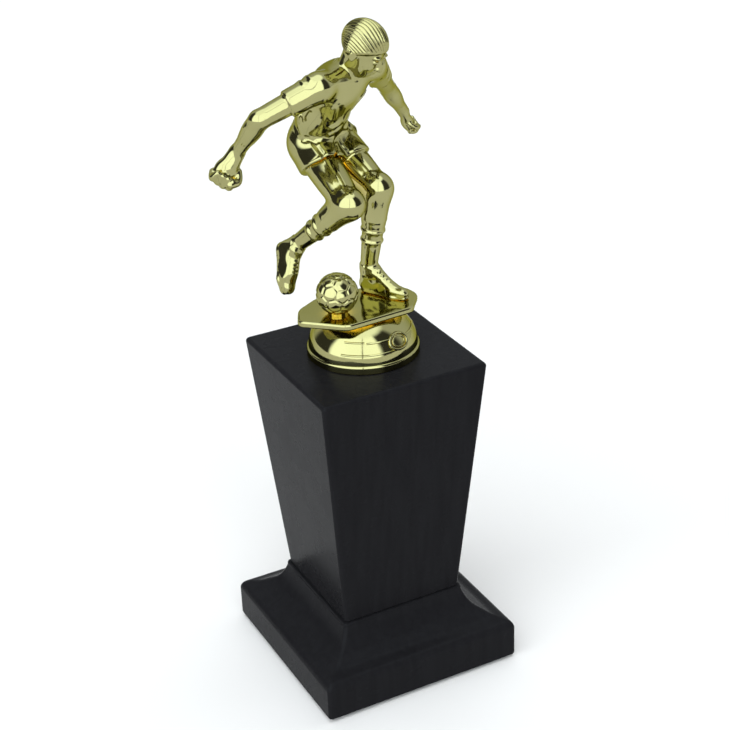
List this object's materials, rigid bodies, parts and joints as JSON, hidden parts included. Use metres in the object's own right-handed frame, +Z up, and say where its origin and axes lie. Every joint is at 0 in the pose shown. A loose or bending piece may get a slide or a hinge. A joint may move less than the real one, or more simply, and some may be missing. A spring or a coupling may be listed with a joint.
{
  "type": "figure trophy",
  "caption": "Gilt plastic footballer with ball on a faceted platform and bell pedestal, clamped by a threaded rod to a black tapered wooden column and moulded square base.",
  "frame": {"origin": "centre of the felt pad's underside, on the surface the trophy stands on, on the axis of the rod", "axes": "+Z up the column to the footballer; -Y the wide front face of the column and base; +X to the right seen from the front"},
  "size_m": [0.0905, 0.082, 0.2517],
  "materials": {
    "felt": "matt black felt",
    "black_wood": "satin black paint on solid wood",
    "beech": "bare beech",
    "zinc_steel": "zinc plated",
    "gilt_plastic": "moulded polystyrene, vacuum metallised to a pale gold mirror"
  },
  "bodies": {
    "root": {"felt_pad": "felt", "base_plinth": "black_wood", "column_block": "black_wood", "dowel_left": "beech", "dowel_right": "beech", "threaded_rod": "zinc_steel", "flat_washer": "zinc_steel", "lock_washer": "zinc_steel", "base_nut": "zinc_steel", "pedestal_nut": "zinc_steel", "pedestal": "gilt_plastic", "ball": "gilt_plastic", "figure_front_half": "gilt_plastic", "figure_back_half": "gilt_plastic"}
  },
  "joints": []
}
